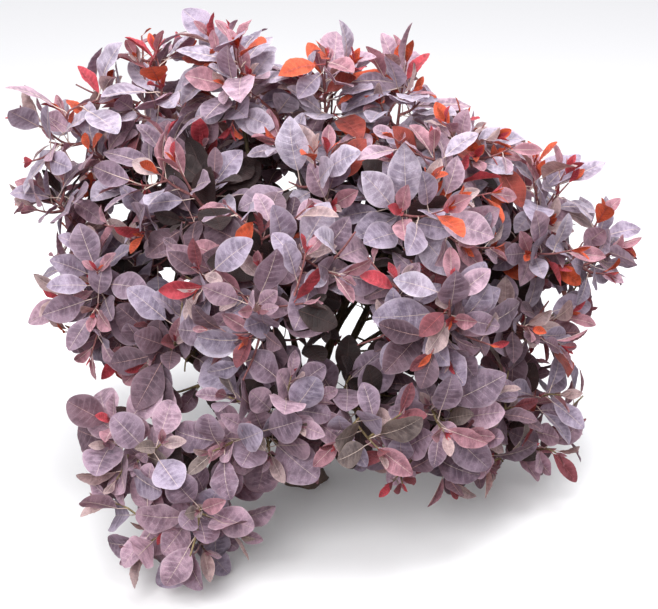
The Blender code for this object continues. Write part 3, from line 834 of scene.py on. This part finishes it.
def tone_of(zone, inner, age, tone, rng):
    """The kind of one leaf of a spray, by its age from 0, full grown, to 1, just unfolding."""
    # An inner spray takes dark tones as painted shade
    if inner:
        return pick(TONES[zone], rng) if rng.random() < INNER_STRAY_SHARE else pick(INNER_SHADE_PAINTED_TONES, rng)
    if age > ACCENT_FROM and rng.random() < ACCENT_CHANCE[zone]:
        return pick(ACCENTS[zone], rng)
    if age > YOUNG_FROM:
        return pick(YOUNG_TONES[zone], rng)
    if rng.random() < TURNED[zone]:
        return pick(TURNED_TONES, rng)
    return pick(TONES[zone], rng) if rng.random() < STRAY_SHARE else tone


def grow_spray(crown, mass, line, leading, rng):
    """The leaves of one twig: wide and large low on it, small and upright round its tip."""
    zone = mass.zone
    # A spray deep inside the crown takes dark tones as painted shade
    beyond = line[-1] + out_of_crown(line[-1]) * INNER_DEPTH[zone]
    shade_painted_spray = crown_field(np.array([beyond]))[1][0] > INNER_FIELD
    tone = pick(TONES[zone], rng)
    full = rng.uniform(*LEAF_LENGTHS[zone])
    turn = rng.uniform(0.0, math.tau)
    for number in range(SPRAY_LEAVES):
        age = number / (SPRAY_LEAVES - 1)
        place, way = along(line, 1.0 - (1.0 - SPRAY_FROM) * (1.0 - age) ** SPRAY_CROWDING)
        turn += GOLDEN_ANGLE
        young = age > YOUNG_FROM
        form = YOUNG_FORM if young else FORMS[zone]
        usual = full * (1.0 - (1.0 - YOUNGEST_SHARE) * age**SHORTENING)
        usual_spread = SPREAD_LOW + (SPREAD_TIP - SPREAD_LOW) * age
        aside = (place - Vector(mass.centre)) / min(mass.reach)
        looks = LEAF_LOOKS_OUT * out_of_crown(place) + LEAF_LOOKS_AWAY * aside + LEAF_LOOKS_UP * UP
        looks *= YOUNG_LOOKS if young else 1.0
        for attempt in range(LEAF_TRIES):
            eased = attempt / (LEAF_TRIES - 1)
            spread = usual_spread + LEAF_LIFT * rng.uniform(-1.0, 1.0) * (FIRST_LIFT + eased)
            swing = turn + LEAF_SWING * rng.uniform(-1.0, 1.0) * (FIRST_SWING + eased)
            leave, inner = branching(way, swing, spread)
            length = usual * (1.0 - (1.0 - LEAF_LEAST_SHARE) * eased)
            stalk = length * (YOUNG_STALK_SHARE if young else STALK_SHARE)
            faces = LEAF_LOOKS_IN * inner + looks
            leaf = leaf_record(place + leave * stalk, leave, faces, length, form, young, rng)
            fit = crown.fits(mass, leaf, attempt < LEAF_TRIES - 1 or not young, leading)
            if fit:
                leaf["foot"] = place
                leaf["leave"] = (leave + way * STALK_LEAVES_ALONG).normalized()
                # Darker kinds as painted shade in hollows, paler as painted light in lit places
                leaf["kind"] = toned(tone_of(zone, shade_painted_spray, age, tone, rng), line[-1], fit[1])
                crown.add(leaf, *fit)
                break
    if not shade_painted_spray:
        grow_tip(crown, mass, line, leading, rng)


def grow_tip(crown, mass, line, leading, rng):
    """The slender leaves just unfolding at the tip of a twig."""
    place, way = along(line, 1.0)
    tone = pick(ACCENTS[mass.zone], rng)
    turn = rng.uniform(0.0, math.tau)
    for _ in range(TIP_LEAVES):
        turn += GOLDEN_ANGLE
        leave, inner = branching(way, turn, rng.uniform(*TIP_SPREADS))
        length = rng.uniform(*TIP_LENGTHS[mass.zone])
        leaf = leaf_record(place, leave, inner, length, TIP_FORM, True, rng)
        fit = crown.fits(mass, leaf, False, leading)
        if fit:
            leaf["kind"] = pick(ACCENTS[mass.zone], rng) if rng.random() < OTHER_TIP_TONE else tone
            crown.add(leaf, *fit)


def grow():
    """The whole plant: lines of boughs, of twigs with their radii and zones, and leaves."""
    lines, hosts, twigs, crown = {}, {}, [], Crown()
    for mass in MASSES:
        lines[mass.name] = bough_line(mass, lines)
        rng = random.Random(f"{SEED} {mass.name}")
        hosts[mass.name] = first_twigs(mass, lines[mass.name], rng)
    tips = [line[-1] for own in hosts.values() for line in own]
    named = {mass.name: mass for mass in MASSES}
    for number, (name, tip, way) in enumerate(LEADERS):
        rng = random.Random(f"{SEED} leader {number}")
        line = leader_line(tip, way, hosts[name])
        tips.append(line[-1])
        twigs.append((line, FINE_RADIUS, named[name].zone))
        grow_spray(crown, named[name], line, True, rng)
    for mass in MASSES:
        rng = random.Random(f"{SEED} {mass.name} sprays")
        stem, *shoots = hosts[mass.name]
        fine = fine_twigs(mass, lines[mass.name], hosts[mass.name], tips, rng)
        radii = [STEM_RADIUS] + [SHOOT_RADIUS] * len(shoots) + [FINE_RADIUS] * len(fine)
        for line, radius in zip([stem, *shoots, *fine], radii):
            twigs.append((line, radius, mass.zone))
            grow_spray(crown, mass, line, False, rng)
    return lines, twigs, crown.leaves


# Meshes, joined from arrays


def smooth_line(points, count):
    """A finer line through the same points, without corners."""
    padded = [points[0] * 2 - points[1], *points, points[-1] * 2 - points[-2]]
    fine = []
    for step in range(count):
        at = step / (count - 1) * (len(points) - 1)
        first = min(int(at), len(points) - 2)
        t = at - first
        a, b, c, d = padded[first:first + 4]
        fine.append(0.5 * (2 * b + (c - a) * t + (2 * a - 5 * b + 4 * c - d) * t * t
                           + (3 * b - a - 3 * c + d) * t**3))
    return fine


def ring_faces(rings, sides):
    """Four-sided faces round a stack of rings of points."""
    ring, corner = np.meshgrid(np.arange(rings - 1) * sides, np.arange(sides), indexing="ij")
    low, following = ring + corner, ring + (corner + 1) % sides
    return np.stack([low, following, following + sides, low + sides], axis=-1).reshape(-1, 4)


def tube_faces(rings, sides):
    """The faces of a closed tube. The middle points of its two ends come after the rings."""
    corner = np.arange(0, sides, 2)
    foot, tip = np.full(len(corner), rings * sides), np.full(len(corner), rings * sides + 1)
    last = (rings - 1) * sides
    low = np.stack([foot, (corner + 2) % sides, corner + 1, corner], axis=1)
    high = np.stack([tip, last + corner, last + corner + 1, last + (corner + 2) % sides], axis=1)
    return np.concatenate([ring_faces(rings, sides), low, high])


def fractal(point, octaves):
    return noise.fractal(point, RELIEF_ROUGHNESS, RELIEF_FINER, octaves)


def limb_arrays(line, foot, tip, rings, sides, relief=0.0):
    """Points and faces of a closed limb with an even number of sides, tapering between two radii."""
    line = smooth_line(line, rings)
    side = across((line[1] - line[0]).normalized())
    points = []
    for number, point in enumerate(line):
        radius = foot + (tip - foot) * number / (rings - 1)
        way = (line[min(number + 1, rings - 1)] - line[max(number - 1, 0)]).normalized()
        side = (side - way * side.dot(way)).normalized()
        other = way.cross(side)
        for corner in range(sides):
            angle = math.tau * corner / sides
            away = side * math.cos(angle) + other * math.sin(angle)
            grain = fractal((point + away * radius) * BOUGH_GRAIN, BOUGH_OCTAVES)
            points.append(point + away * (radius + relief * grain))
    return np.array([*points, line[0], line[-1]]), tube_faces(rings, sides)


def repeated(faces, size, count):
    """The same faces for many sets of points of this size."""
    return (np.arange(count)[:, None, None] * size + faces).reshape(-1, 4)


def joined(parts):
    """Many (points, faces) arrays as one pair."""
    shifts = np.cumsum([0] + [len(points) for points, _ in parts[:-1]])
    faces = [faces + shift for (_, faces), shift in zip(parts, shifts)]
    return np.concatenate([points for points, _ in parts]), np.concatenate(faces)


def add_piece(name, finish, slot, nodes, points, faces, places_on_map=None):
    """A joined mesh as a piece of the object."""
    mesh = bpy.data.meshes.new(name)
    mesh.from_pydata(points.tolist(), [], faces.tolist())
    if places_on_map is not None:
        layer = mesh.uv_layers.new(name=LEAF_MAP)
        layer.uv.foreach_set("vector", places_on_map[faces.ravel()].astype(np.float32).ravel())
    mesh.shade_smooth()
    mesh.materials.append(finish)
    obj = bpy.data.objects.new(name, mesh)
    bpy.context.scene.collection.objects.link(obj)
    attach(obj, "root")
    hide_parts(*nodes)


def blade_arrays(leaves, rows, columns):
    """Points and faces of many blades, and the points' places on the map of leaves, where the
    leaves take one square after another."""
    points, _ = blade_points(stacked(leaves), rows, columns)
    faces = repeated(net_faces(len(rows), len(columns)), len(rows) * len(columns), len(leaves))
    across_net, along_net = np.meshgrid((np.array(columns) + 1.0) / 2.0, rows)
    on_leaf = np.stack([along_net, across_net], axis=-1).reshape(-1, 2)
    number = np.arange(len(leaves)) % MAP_SQUARES**2
    square = np.stack([number % MAP_SQUARES, number // MAP_SQUARES], axis=-1)
    on_map = square[:, None] + MAP_MARGIN + (1.0 - 2.0 * MAP_MARGIN) * on_leaf[None]
    return points.reshape(-1, 3), faces, on_map.reshape(-1, 2) / MAP_SQUARES


def rib_arrays(leaves):
    """The stalk and midrib of each leaf, as one tapering tube."""
    table = stacked(leaves)
    places, ups = blade_points(table, MIDRIB_AT, (0.0,))
    places, ups = places[:, :, 0], ups[:, :, 0]
    foot, leave, stand = (table[name][:, None] for name in ("foot", "leave", "base"))
    way = table["axes"][:, 0][:, None]
    pull = STALK_PULL * np.linalg.norm(stand - foot, axis=-1, keepdims=True)
    t = np.linspace(0.0, 1.0, STALK_RINGS + 1)[:-1][None, :, None]
    stalk = cubic(foot, foot + leave * pull, stand - way * pull, stand, t)
    middle = np.concatenate([stalk, places + ups * MIDRIB_PROUD], axis=1)
    ups = np.concatenate([np.repeat(ups[:, :1], STALK_RINGS, axis=1), ups], axis=1)
    side = table["axes"][:, 1][:, None]
    radii = [STALK_RADIUS] * STALK_RINGS
    radii += [MIDRIB_RADIUS + (MIDRIB_TIP_RADIUS - MIDRIB_RADIUS) * at for at in MIDRIB_AT]
    size = np.clip(table["length"] / FULL_LENGTH, LEAST_RIB_SHARE, 1.0)
    radii = (np.array(radii)[None] * size[:, None])[:, :, None]
    rings = []
    for corner in range(RIB_SIDES):
        angle = math.pi / 2 + math.tau * corner / RIB_SIDES
        rings.append(middle + (side * math.cos(angle) + ups * math.sin(angle)) * radii)
    points = np.stack(rings, axis=2)
    count = points.shape[1]
    faces = repeated(ring_faces(count, RIB_SIDES), count * RIB_SIDES, len(leaves))
    return points.reshape(-1, 3), faces


# Materials


PRINCIPLED = "ShaderNodeBsdfPrincipled"
VECTORS = "ShaderNodeVectorMath"
# The sockets of a mix of colours, which share their names with others: share, first, second, result
MIX_INPUTS = (0, 6, 7)
MIX_OUTPUT = 2


def put(socket, value):
    """Gives a socket a number or a colour, or links it to a field."""
    if isinstance(value, Field):
        socket.id_data.links.new(value.socket, socket)
    elif isinstance(value, tuple) and len(socket.default_value) == 4:
        socket.default_value = (*value, 1.0)
    else:
        socket.default_value = value


def add_node(tree, kind, inputs=(), **settings):
    """A node with these settings, and with values for some of its inputs."""
    node = tree.nodes.new(kind)
    for name, value in settings.items():
        setattr(node, name, value)
    for key, value in dict(inputs).items():
        put(node.inputs[key], value)
    return node


class Field:
    """An output of a node, to reckon with like a number or to mix colours by."""

    def __init__(self, node, output=0):
        self.tree = node.id_data
        self.socket = node.outputs[output]

    def of(self, operation, *others, kind="ShaderNodeMath", **settings):
        inputs = enumerate((self, *others))
        return Field(add_node(self.tree, kind, inputs, operation=operation, **settings))

    def __add__(self, other):
        return self.of("ADD", other)

    def __rsub__(self, other):
        return self.of("MULTIPLY_ADD", -1.0, other)

    def __mul__(self, other):
        return self.of("MULTIPLY", other)

    def __pow__(self, other):
        return self.of("POWER", other)

    def spread(self, strength, lift):
        """A mottled pattern with more contrast, from 0 to 1, that is lift at its middle."""
        return self.of("MULTIPLY_ADD", strength, lift - strength / 2, use_clamp=True)

    def mix(self, first, second):
        """The first colour where this is 0, the second where it is 1."""
        inputs = zip(MIX_INPUTS, (self, first, second))
        return Field(add_node(self.tree, "ShaderNodeMix", inputs, data_type="RGBA"), MIX_OUTPUT)

    def bump(self, strength, depth):
        inputs = {"Height": self, "Strength": strength, "Distance": depth}
        return Field(add_node(self.tree, "ShaderNodeBump", inputs))


def grain_of(tree, scale, detail=2.0, roughness=0.5):
    """A mottled pattern fixed to the object, around 0.5."""
    place = Field(add_node(tree, "ShaderNodeTexCoord"), "Object")
    inputs = {"Vector": place, "Scale": scale, "Detail": detail, "Roughness": roughness}
    return Field(add_node(tree, "ShaderNodeTexNoise", inputs))


def make_material(name):
    made = bpy.data.materials.new(name)
    made.use_nodes = True
    made.node_tree.nodes.clear()
    return made, made.node_tree


def show(shader):
    add_node(shader.id_data, "ShaderNodeOutputMaterial", {"Surface": Field(shader)})


def leaf_places(tree):
    """Where a point lies on its leaf: along it, and away from the midrib, each from 0 to 1. The
    third field is its place on the whole map, counted in leaves."""
    net = Field(add_node(tree, "ShaderNodeUVMap", uv_map=LEAF_MAP))
    on_map = net.of("MULTIPLY", (MAP_SQUARES, MAP_SQUARES, 0.0), kind=VECTORS)
    parts = add_node(tree, "ShaderNodeSeparateXYZ", {"Vector": on_map.of("FRACTION", kind=VECTORS)})
    used = 1.0 - 2.0 * MAP_MARGIN
    along_leaf = Field(parts, "X").of("MULTIPLY_ADD", 1.0 / used, -MAP_MARGIN / used, use_clamp=True)
    over = Field(parts, "Y").of("MULTIPLY_ADD", 2.0 / used, -1.0 / used)
    return along_leaf, over.of("ABSOLUTE"), on_map


def leaf_material(name, kind):
    """A waxy leaf: pale and mottled, deeper in its middle, flushed in places, with side veins, a
    net of small ones, painted shade in bands between the side veins, a bright rim, and some
    light that comes through."""
    made, tree = make_material(name)
    along_leaf, out_leaf, on_map = leaf_places(tree)
    wave = (along_leaf * (SIDE_VEINS * math.tau)).of("COSINE")
    veins = wave.of("MAXIMUM", 0.0) ** VEIN_SHARPNESS * (1.0 - out_leaf**VEIN_FADE)
    rim = out_leaf**RIM_SHARPNESS
    ends = (along_leaf * (1.0 - along_leaf)).of("MULTIPLY", MIDDLE_LENGTH, use_clamp=True)
    middle = ends * (1.0 - out_leaf**MIDDLE_WIDTH)
    cells = {"Vector": on_map.of("MULTIPLY", SMALL_VEINS, kind=VECTORS), "Scale": 1.0}
    small = add_node(tree, "ShaderNodeTexVoronoi", cells, feature="DISTANCE_TO_EDGE",
                     voronoi_dimensions="2D")
    net = Field(small, "Distance").of("MULTIPLY_ADD", -1.0 / SMALL_VEIN_WIDTH, 1.0, use_clamp=True)
    grain = grain_of(tree, GRAIN_SCALE)
    patches = grain_of(tree, PATCH_SCALE, *PATCH_DETAIL)
    flush = grain_of(tree, FLUSH_SCALE).spread(*FLUSH_SPREAD)

    blade, vein_colour, rim_colour, through = (linear(colour) for colour in kind[:4])
    pale = tuple(min(1.0, part * PALE + PALE_LIFT) for part in blade)
    deep = tuple(part * share for part, share in zip(blade, DEEP))
    darkest = tuple(part * DARKEST for part in deep)
    shade = patches * PATCH_STRENGTH + (PATCH_LIFT - PATCH_STRENGTH / 2)
    # Painted shade in bands between the side veins, where the quilted blade would be in shade
    shade = wave * middle * -QUILT_PAINTED_SHADE + shade
    colour = middle.of("MULTIPLY_ADD", MIDDLE_SHARE, shade, use_clamp=True).mix(pale, deep)
    colour = (flush * FLUSH_SHARE).mix(colour, through)
    speck = grain.spread(*SPECK_SPREAD) * SPECK_SHARE
    crinkle = net * (middle * SMALL_VEIN_MIDDLE_SHARE + SMALL_VEIN_SHARE)
    colour = speck.of("ADD", crinkle, use_clamp=True).mix(colour, darkest)
    colour = (veins * VEIN_SHARE).mix(colour, vein_colour)
    colour = (rim * RIM_SHARE).mix(colour, rim_colour)

    height = grain * GRAIN_HEIGHT + veins * VEIN_HEIGHT + net * SMALL_VEIN_HEIGHT
    relief = height.bump(*LEAF_BUMP)
    shader = add_node(tree, PRINCIPLED, {"Base Color": colour, "Normal": relief, **LEAF_SURFACE})
    glow = add_node(tree, "ShaderNodeBsdfTranslucent", {"Color": through, "Normal": relief})
    layers = enumerate((THROUGH_SHARE, Field(shader), Field(glow)))
    show(add_node(tree, "ShaderNodeMixShader", layers))
    return made


def rib_material(name, colour):
    """A smooth stalk and midrib, a little mottled."""
    made, tree = make_material(name)
    tone = linear(colour)
    dark, light = (tuple(min(1.0, part * share) for part in tone) for share in RIB_TONES)
    shade = grain_of(tree, RIB_GRAIN_SCALE).mix(dark, light)
    show(add_node(tree, PRINCIPLED, {"Base Color": shade, "Roughness": RIB_ROUGHNESS}))
    return made


def bark_material(name):
    """Dull bark, mottled and cracked."""
    made, tree = make_material(f"{name}_bark")
    dark, light, scale = BARKS[name]
    grain = grain_of(tree, scale, *BARK_DETAIL)
    shade = grain.spread(*BARK_SPREAD).mix(linear(dark), linear(light))
    relief = grain.bump(*BARK_BUMP)
    show(add_node(tree, PRINCIPLED, {"Base Color": shade, "Roughness": BARK_ROUGHNESS, "Normal": relief}))
    return made


# Pieces


def make_trunk():
    """The trunk's bark: flared into ridges at the foot, cracked all over."""
    top = TRUNK_HEIGHT * TRUNK_TOP_SHARE
    points = []
    for ring in range(TRUNK_RINGS):
        height = top * ring / (TRUNK_RINGS - 1)
        fade = math.exp(-height / TRUNK_FLARE_HEIGHT)
        shoulder = math.sqrt(1.0 - (height / TRUNK_HEIGHT) ** TRUNK_SHOULDER)
        radius = TRUNK_RADIUS * (1.0 + TRUNK_FLARE * fade) * shoulder
        for corner in range(TRUNK_SIDES):
            angle = math.tau * corner / TRUNK_SIDES
            ridge = ROOT_RIDGE_DEPTH * math.cos(ROOT_RIDGES * angle) * fade
            place = Vector((math.cos(angle), math.sin(angle), 0.0)) * radius * (1.0 + ridge)
            grain = fractal((place + UP * height * TRUNK_CRACKS) * TRUNK_GRAIN, TRUNK_OCTAVES)
            place *= 1.0 + TRUNK_RELIEF * grain
            points.append(place + trunk_axis(height))
    points = np.array([*points, trunk_axis(0.0), trunk_axis(top)])
    faces = tube_faces(TRUNK_RINGS, TRUNK_SIDES)
    add_piece("trunk_bark", bark_material("trunk"), "bark", ["trunk"], points, faces)


def make_boughs(lines):
    """All boughs, tapering, with fine bark."""
    parts = []
    for mass in MASSES:
        line = lines[mass.name]
        length = sum((b - a).length for a, b in zip(line, line[1:]))
        count = max(BOUGH_LEAST_RINGS, int(length / BOUGH_RING_GAP))
        foot = BOUGH_TIP_RADIUS * BOUGH_FOOT_FACTOR * math.sqrt(carried(mass.name))
        parts.append(limb_arrays(line, foot, BOUGH_TIP_RADIUS, count, BOUGH_SIDES, BOUGH_RELIEF))
    nodes = [f"bough_{mass.name}" for mass in MASSES]
    add_piece("bough_bark", bark_material("bough"), "stem", nodes, *joined(parts))


def make_twigs(twigs, nodes):
    """The twigs: purple-brown ones in the crown, and olive ones low down."""
    for name, zones in (("purple_twig", ("top", "front")), ("olive_twig", ("skirt", "lobe"))):
        parts = [limb_arrays(line, radius, TWIG_TIP_RADIUS, TWIG_RINGS, TWIG_SIDES)
                 for line, radius, zone in twigs if zone in zones]
        add_piece(f"{name}s", bark_material(name), "stem", nodes, *joined(parts))


def make_leaves(leaves, nodes):
    """Blades, one or more pieces for each kind, then stalks with midribs by colour."""
    most = MOST_FACES // ((len(ROWS) - 1) * (len(COLUMNS) - 1))
    for name, kind in KINDS.items():
        look = (leaf_material(name, kind), "plum_leaf" if name in DARK_KINDS else "lilac_leaf", nodes)
        own = [leaf for leaf in leaves if leaf["kind"] == name]
        blades = [leaf for leaf in own if "foot" in leaf]
        tips = [leaf for leaf in own if "foot" not in leaf]
        for number, start in enumerate(range(0, len(blades), most), 1):
            part = blades[start:start + most]
            add_piece(f"leaves_{name}_{number}", *look, *blade_arrays(part, ROWS, COLUMNS))
        if tips:
            add_piece(f"tips_{name}", *look, *blade_arrays(tips, TIP_ROWS, TIP_COLUMNS))
    for name, colour in RIBS.items():
        own = [leaf for leaf in leaves if KINDS[leaf["kind"]].rib == name and "foot" in leaf]
        add_piece(f"ribs_{name}", rib_material(f"rib_{name}", colour), "stem", nodes, *rib_arrays(own))


# The studio


def make_stage():
    """A pale floor, which throws no light back up into the bush."""
    bpy.ops.mesh.primitive_plane_add(size=FLOOR_SIZE)
    floor = bpy.context.object
    floor.name = "floor"
    made, tree = make_material("floor")
    show(add_node(tree, "ShaderNodeBsdfDiffuse", {"Color": (FLOOR_TONE, FLOOR_TONE, FLOOR_TONE)}))
    floor.data.materials.append(made)
    floor.visible_diffuse = False
    floor.visible_glossy = False


def add_looking(name, data, place, way):
    """A lamp or a camera at a place, that looks one way."""
    obj = bpy.data.objects.new(name, data)
    obj.location = place
    obj.rotation_mode = "QUATERNION"
    obj.rotation_quaternion = way.to_track_quat("-Z", "Y")
    bpy.context.scene.collection.objects.link(obj)
    return obj


def make_light():
    """A soft overcast sky, dark below the horizon, and two large soft lamps."""
    scene = bpy.context.scene
    scene.world = bpy.data.worlds.new("studio")
    scene.world.use_nodes = True
    tree = scene.world.node_tree
    place = Field(add_node(tree, "ShaderNodeTexCoord"), "Generated")
    parts = add_node(tree, "ShaderNodeSeparateXYZ", {"Vector": place})
    rise = Field(parts, "Z").of("MULTIPLY_ADD", SKY_STEEPNESS, SKY_AT_HORIZON, use_clamp=True)
    background = tree.nodes["Background"]
    put(background.inputs["Color"], rise.mix(GROUND_COLOUR, SKY_COLOUR))
    put(background.inputs["Strength"], SKY_STRENGTH)
    for name, place, power, colour in LAMPS:
        lamp = bpy.data.lights.new(name, "AREA")
        lamp.shape = "DISK"
        lamp.size = LAMP_SIZE
        lamp.energy = power
        lamp.color = colour
        add_looking(name, lamp, place, LIGHT_AIM - place)
    scene.view_settings.view_transform = "Standard"
    scene.view_settings.look = "None"


def make_camera():
    data = bpy.data.cameras.new("camera")
    data.lens = CAMERA_LENS
    data.sensor_width = SENSOR_WIDTH
    back = Vector((0.0, -math.cos(CAMERA_ELEVATION), math.sin(CAMERA_ELEVATION)))
    camera = add_looking("camera", data, CAMERA_AIM + back * CAMERA_DISTANCE, -back)
    bpy.context.scene.camera = camera


def main():
    make_camera()
    make_light()
    make_stage()
    lines, twigs, leaves = grow()
    foliage = [f"foliage_{mass.name}" for mass in MASSES]
    make_trunk()
    make_boughs(lines)
    make_twigs(twigs, foliage)
    make_leaves(leaves, foliage)


main()
